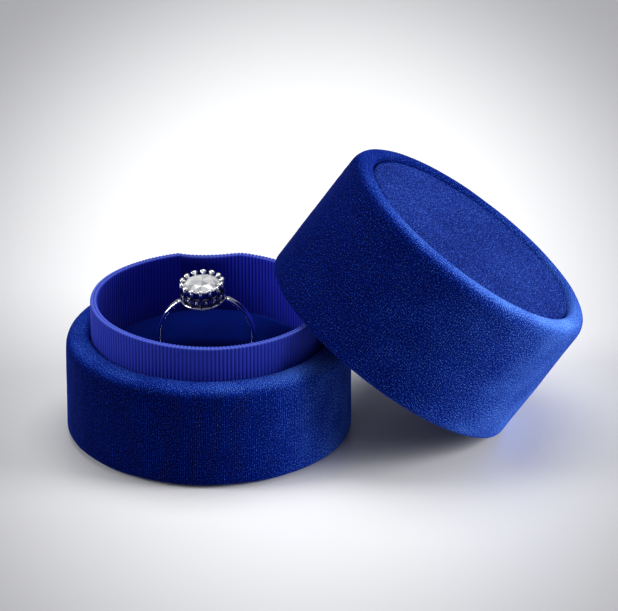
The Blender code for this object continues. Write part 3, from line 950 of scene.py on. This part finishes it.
PAD_VOXEL, PAD_SHRINK, PAD_CAP = 1.0 * MM, 0.45 * MM, 0.9 * MM
for word, side in (("front", -1), ("rear", 1)):
    start = half_round("cushion_" + word, side, PAD_SHRINK)
    half = piece(stuffed(start, PAD_VOXEL, PAD_CAP, pressed_half(side)), velvet_pad, "base",
                 ["cushion_cover_" + word])
    subdivided(half)
    piece(half_round("foam_" + word, side, 2.2 * MM), foam, "base", ["cushion_foam_" + word])

# %% [markdown]
# ## The ring
# The shank is a narrow band bent round the finger and open at the top, where the head stands
# between its ends. Its section is a rounded rectangle, a superellipse, and it grows slimmer
# towards the head. So the band is one section carried along an arc and scaled as it goes.

# %% The shank
RING_RADIUS = 9.6 * MM
SHANK_THICKNESS, SHANK_WIDTH = 1.0 * MM, 1.8 * MM
HEAD_RADIUS = 4.0 * MM
RAIL_HEIGHT, SEAT_HEIGHT, BEAD_HEIGHT = 8.4 * MM, 10.1 * MM, 11.9 * MM


def superellipse(count, power):
    """Points (u, v) with |u|^power + |v|^power = 1, spread by angle."""
    c, s = np.cos(full_circle(count)), np.sin(full_circle(count))
    scale = (np.abs(c) ** power + np.abs(s) ** power) ** (-1 / power)
    return c * scale, s * scale


def shank_grid(turns=181, count=28):
    """Rows round the section, columns along the arc from one side of the head to the other.

    The half angle left open is that of the head, and both ends shrink to a pole.
    """
    middle = RING_RADIUS - SHANK_THICKNESS / 2
    open_half = math.asin((HEAD_RADIUS + 0.15 * MM) / middle)
    arc = np.linspace(open_half, 2 * np.pi - open_half, turns)
    low = 0.5 - 0.5 * np.cos(arc)  # 0 at the top of the ring, 1 at the bottom
    thickness = SHANK_THICKNESS * (0.80 + 0.20 * low)
    width = SHANK_WIDTH * (0.72 + 0.28 * low**0.7)
    u, v = superellipse(count, 3.2)
    ends = np.r_[0.0, 0.7, np.ones(turns - 4), 0.7, 0.0]
    radial = middle + (RING_RADIUS - middle - thickness / 2) + u[:, None] * thickness / 2 * ends
    return np.stack([radial * np.sin(arc), v[:, None] * width / 2 * ends, radial * np.cos(arc)], axis=2)


piece(cleaned(mesh_of("shank", [in_frame(shank_grid(), RING)], close_columns=False), 1e-6),
      silver, "ring", ["ring_shank"])

# %% [markdown]
# The head is a small crown. A rail joins the shank, fourteen prongs rise from it and end in
# beads, and a seat ring holds the stone under its girdle. Between two prongs a pointed arch
# stands on the rail with a smaller bead on its tip. All are wires, that is a circle carried along
# a line, and beads, so two small functions make the whole head.

# %% The head's sizes, and a wire
PRONGS = 14
PRONG_TURN = math.radians(9.9)
PRONG_BOW = 0.10 * MM
CLAW_IN, CLAW_DOWN = np.array([0.02, 0.36, 0.66]) * MM, np.array([0.0, 0.0, 0.20]) * MM
BEAD_SIZE = np.array([0.44, 0.66, 0.40]) * MM  # half sizes along the spoke, across it and upwards
ARCH_BEAD_SIZE = np.array([0.27, 0.27, 0.25]) * MM
ARCH_HEIGHT, ARCH_GAP = 1.25 * MM, 0.07  # the gap between an arch's foot and its prong is an angle
RAIL_WIRE, SEAT_WIRE = 0.36 * MM, 0.22 * MM
SEAT_RADIUS = 3.72 * MM


def wire(line, radii, count=10):
    """A circle of the given radius round each point of a line, closed at both ends by a pole.

    The circle lies square to the line: its two axes are cross products with the line's direction.
    """
    line = np.asarray(line, float)
    tangent = unit_rows(np.gradient(line, axis=0))
    helper = np.array([0.3, 0.2, 1.0]) if abs(tangent[:, 2]).mean() < 0.6 else np.array([1.0, 0.3, 0.1])
    first = unit_rows(np.cross(tangent, helper))
    second = np.cross(tangent, first)
    angle = full_circle(count)[:, None, None]
    radii = np.r_[0.0, radii, 0.0][None, :, None]
    padded = np.concatenate([line[:1], line, line[-1:]])
    first, second = (np.concatenate([a[:1], a, a[-1:]]) for a in (first, second))
    return padded[None] + radii * (np.cos(angle) * first + np.sin(angle) * second)


# %% Hoops and beads
def hoop(radius, height, wire_radius, flat=1.0):
    """A closed ring of wire, its section flattened by the given share."""
    section = full_circle(14)[:, None]
    r = radius + wire_radius * np.cos(section)
    return polar(r, full_circle(84)[None, :], height + wire_radius * flat * np.sin(section))


def bead(centre, angle, reach, width, height):
    """An egg of three half sizes, turned to stand across the spoke at the given angle.

    On the spoke's own axes its points are (reach sin t cos a, width sin t sin a, height cos t).
    """
    t = np.linspace(0, np.pi, 9)[:, None]
    a = full_circle(14)[None, :]
    outward, sideways = reach * np.sin(t) * np.cos(a), width * np.sin(t) * np.sin(a)
    c, s = math.cos(angle), math.sin(angle)
    return centre + np.stack([c * outward - s * sideways, s * outward + c * sideways,
                              height * np.cos(t) + 0 * a], axis=2)


# %% All of the head's parts
hoops = [hoop(HEAD_RADIUS, RAIL_HEIGHT, RAIL_WIRE, 0.8), hoop(SEAT_RADIUS, SEAT_HEIGHT, SEAT_WIRE)]
wires, beads = [], []
rise = np.linspace(0, 1, 8)
for index in range(PRONGS):
    angle = 2 * math.pi * index / PRONGS + PRONG_TURN
    prong = polar(HEAD_RADIUS + PRONG_BOW * np.sin(np.pi * rise), angle,
                  RAIL_HEIGHT + rise * (BEAD_HEIGHT - RAIL_HEIGHT))
    wires.append(wire(prong, np.linspace(0.32, 0.34, 8) * MM))
    claw = polar(HEAD_RADIUS - CLAW_IN, angle, BEAD_HEIGHT - CLAW_DOWN)
    wires.append(wire(claw, np.array([0.30, 0.30, 0.24]) * MM))
    beads.append(bead(polar(HEAD_RADIUS - 0.06 * MM, angle, BEAD_HEIGHT + 0.08 * MM), angle, *BEAD_SIZE))
    next_angle = angle + math.pi / PRONGS
    tip = polar(HEAD_RADIUS + 0.08 * MM, next_angle, RAIL_HEIGHT + ARCH_HEIGHT)
    for foot_angle in (angle + ARCH_GAP, 2 * next_angle - angle - ARCH_GAP):
        foot = polar(HEAD_RADIUS, foot_angle, RAIL_HEIGHT + 0.2 * MM)
        leg = foot + np.linspace(0, 1, 5)[:, None] * (tip - foot)
        wires.append(wire(leg, np.linspace(0.2, 0.15, 5) * MM, 8))
    beads.append(bead(tip + [0, 0, 0.1 * MM], next_angle, *ARCH_BEAD_SIZE))
print(len(beads), "beads and", len(wires), "wires")


def placed(name, grids, merge=1e-7, **closing):
    return cleaned(mesh_of(name, [in_frame(grid, RING) for grid in grids], **closing), merge)


# %% The head as one mesh, with its painted shade
head_parts = [placed("rails", hoops, 2e-7), placed("wires", wires, close_columns=False),
              placed("beads", beads, close_rows=False)]
head_mesh = reworked(bpy.data.meshes.new("head"), lambda work: None, head_parts)
for part in head_parts:
    bpy.data.meshes.remove(part)
# Painted shade and dark reflection: the gallery between the rail and the beads is darkened, and the tips of
# the arches are spared as a painted glint.
heights = (points_of(head_mesh) - RING["origin"]) @ RING["axes"][2]
painted_shade = np.clip((BEAD_HEIGHT - 0.45 * MM - heights) / (0.5 * MM), 0, 1) * np.clip(
    (heights - RAIL_HEIGHT - 0.10 * MM) / (0.25 * MM), 0, 1)
painted_glint = np.exp(-(((heights - RAIL_HEIGHT - 1.3 * MM) / (0.3 * MM)) ** 2))  # the tips of the arches
painted_shade *= 1 - 0.9 * painted_glint
mark(head_mesh, "painted_shade", painted_shade)
piece(head_mesh, silver_with_painted_shade, "ring", ["ring_head"])

# %% [markdown]
# A round brilliant is a convex solid, so its facets follow from its corners alone: eight round the
# table, eight where the kites end, sixteen above and sixteen below the girdle, eight on the
# pavilion and one at the tip. Their convex hull is the cut stone, and flat shading keeps the
# facets sharp.

# %% The stone
GIRDLE_HEIGHT = 11.4 * MM


def corner_ring(count, radius, height, turn):
    return polar(radius, 2 * np.pi * (np.arange(count) + turn) / count, height)


corners = np.concatenate([
    corner_ring(8, 2.05 * MM, GIRDLE_HEIGHT + 1.0 * MM, 0.0),
    corner_ring(8, 2.85 * MM, GIRDLE_HEIGHT + 0.66 * MM, 0.5),
    corner_ring(16, 3.58 * MM, GIRDLE_HEIGHT + 0.15 * MM, 0.0),
    corner_ring(16, 3.58 * MM, GIRDLE_HEIGHT, 0.0),
    corner_ring(8, 0.75 * MM, GIRDLE_HEIGHT - 2.05 * MM, 0.5),
    corner_ring(1, 0.0, GIRDLE_HEIGHT - 2.6 * MM, 0.0),
])
stone_mesh = bpy.data.meshes.new("stone")
work = bmesh.new()
for corner in in_frame(corners, RING):
    work.verts.new(corner)
bmesh.ops.convex_hull(work, input=work.verts)
bmesh.ops.dissolve_limit(work, angle_limit=math.radians(0.5), verts=work.verts, edges=work.edges)
bmesh.ops.recalc_face_normals(work, faces=work.faces)
# The table is cut into a fan of triangles, so that it shows several painted reflections of the facets
# below.
table_face = max(work.faces, key=lambda face: len(face.verts))
bmesh.ops.poke(work, faces=[table_face])
work.to_mesh(stone_mesh)
work.free()
stone_mesh.shade_flat()
# One painted reflection for each facet, a random tone from grey to white.
painted_reflection = np.clip(np.random.default_rng(7).normal(0.80, 0.38, len(stone_mesh.polygons)), 0, 1)
mark(stone_mesh, "painted_reflection", painted_reflection, "FACE")
piece(stone_mesh, stone_glass, "ring", ["ring_stone"])

# %% [markdown]
# ## The lid
# The lid is covered like the base, but its velvet goes on over the top edge as a fat roll and
# down into a recess. A separate disc of card, covered in the same velvet, drops into the recess,
# and a hair of a gap is left round it.

# %% The lid's velvet
BORE = 23.0 * MM
lid_wrap_corners = [
    (23.4 * MM, 25.6 * MM),
    (23.4 * MM, LID_HEIGHT, 1.25 * MM),
    (DRUM_RADIUS, LID_HEIGHT, 2.7 * MM),
    (DRUM_RADIUS, 0.0, 1.1 * MM),
    (BORE, 0.0, 1.1 * MM),
    (BORE, 3.6 * MM),
]
# The lid's painted sheen and shade: lighter towards the right, and a painted highlight along the roll.
drum_velvet("lid_velvet", lid_wrap_corners, velvet_lift(23, math.radians(75), (1.2 * MM, 25.2 * MM)),
            (math.radians(-5), 1.5, 0.05, 0.365, (26.6 * MM, 28.0 * MM, 0.14, 0.48, math.radians(-55))),
            velvet_lid, "lid", LID, "lid_velvet_wrap")

# %% The inset disc
DISC_RADIUS, DISC_TOP = 23.1 * MM, 27.3 * MM


def disc_lift(points, angle):
    """The cloth stands 0.3 mm proud in the middle, by 1 minus the fourth power of the radius."""
    r = np.hypot(points[..., 0], points[..., 1]) / DISC_RADIUS
    return 0.28 * MM * (1 - np.minimum(r, 1) ** 4) + 0.05 * MM * lumps(points, 8 * MM, 31)


disc_corners = [(0.0, DISC_TOP), (DISC_RADIUS, DISC_TOP, 0.8 * MM), (DISC_RADIUS, 24.9 * MM)]
disc_grid = cloth_shell(disc_corners, CLOTH, 0.4 * MM, 360, disc_lift)
lid_disc = piece(cleaned(mesh_of("lid_disc", [in_frame(disc_grid, LID)], close_rows=False), 1e-6),
                 velvet_disc, "lid", ["lid_top_velvet"])

# %% [markdown]
# Inside, a strip of velvet lines the card sleeve that slips over the collar, and a pad of foam
# under velvet fills the ceiling. The lining is another turned shell. The pad is stuffed in the
# same way as the cushion.

# %% The lining
LINING_LOW, LINING_HIGH = 3.9 * MM, 22.9 * MM
lining_corners = [(BORE + CLOTH, LINING_HIGH), (BORE + CLOTH, LINING_LOW),
                  (BORE, LINING_LOW, 0.25 * MM), (BORE, LINING_HIGH)]
lining_grid = turned(path_through(lining_corners, 0.5 * MM), 300)
lining = piece(cleaned(mesh_of("lid_lining_velvet", [in_frame(lining_grid, LID)])),
               velvet_disc, "lid", ["lid_lining"])

# %% The ceiling pad and its foam
CEILING_RADIUS = 22.6 * MM


def disc_of(radius, low, high, fillet):
    """The profile of a flat disc whose lower edge is rounded."""
    return [(0.0, low), (radius, low, fillet), (radius, high), (0.0, high)]


def pressed_pad(points):
    """Keeps the pad under the plate and inside the lining, and places it in the lid."""
    r = np.hypot(points[:, 0], points[:, 1])[:, None]
    inwards = np.minimum(r, CEILING_RADIUS) / np.maximum(r, 1e-9)
    points = points * np.where([True, True, False], inwards, 1.0)
    points[:, 2] = np.clip(points[:, 2], 18.9 * MM, LINING_HIGH)
    return in_frame(points, LID)


foam_corners = disc_of(21.4 * MM, 20.9 * MM, 22.3 * MM, 0.8 * MM)
piece(turned_solid("lid_ceiling_foam_pad", foam_corners, 0.8 * MM, 120, LID), foam, "lid",
      ["lid_ceiling_foam"])
pad_corners = disc_of(22.2 * MM, 19.9 * MM, 22.6 * MM, 1.4 * MM)
pad_mesh = turned_solid("lid_ceiling_pad", pad_corners, 0.6 * MM, 120, BASE)  # placed when pressed
ceiling = piece(stuffed(pad_mesh, PAD_VOXEL, 0.7 * MM, pressed_pad), velvet_pad, "lid",
                ["lid_ceiling_cover"])
subdivided(ceiling)

# %% [markdown]
# ## What is left of the model
# The moulded shells, the boards and the sleeve keep the model's own shape. They are
# nearly hidden, but they still get the finish of what they are made of.

# %% Finishes for the carried-over parts
CARRIED = {
    "base_shell": moulding, "lid_shell": moulding, "cushion_board": card, "lid_sleeve": card,
    "lid_top_board": card,
}
for name, finish in CARRIED.items():
    for surface in frame["nodes"][name].material_slots:
        surface.material = finish
print(len(CARRIED), "parts keep their own shape")
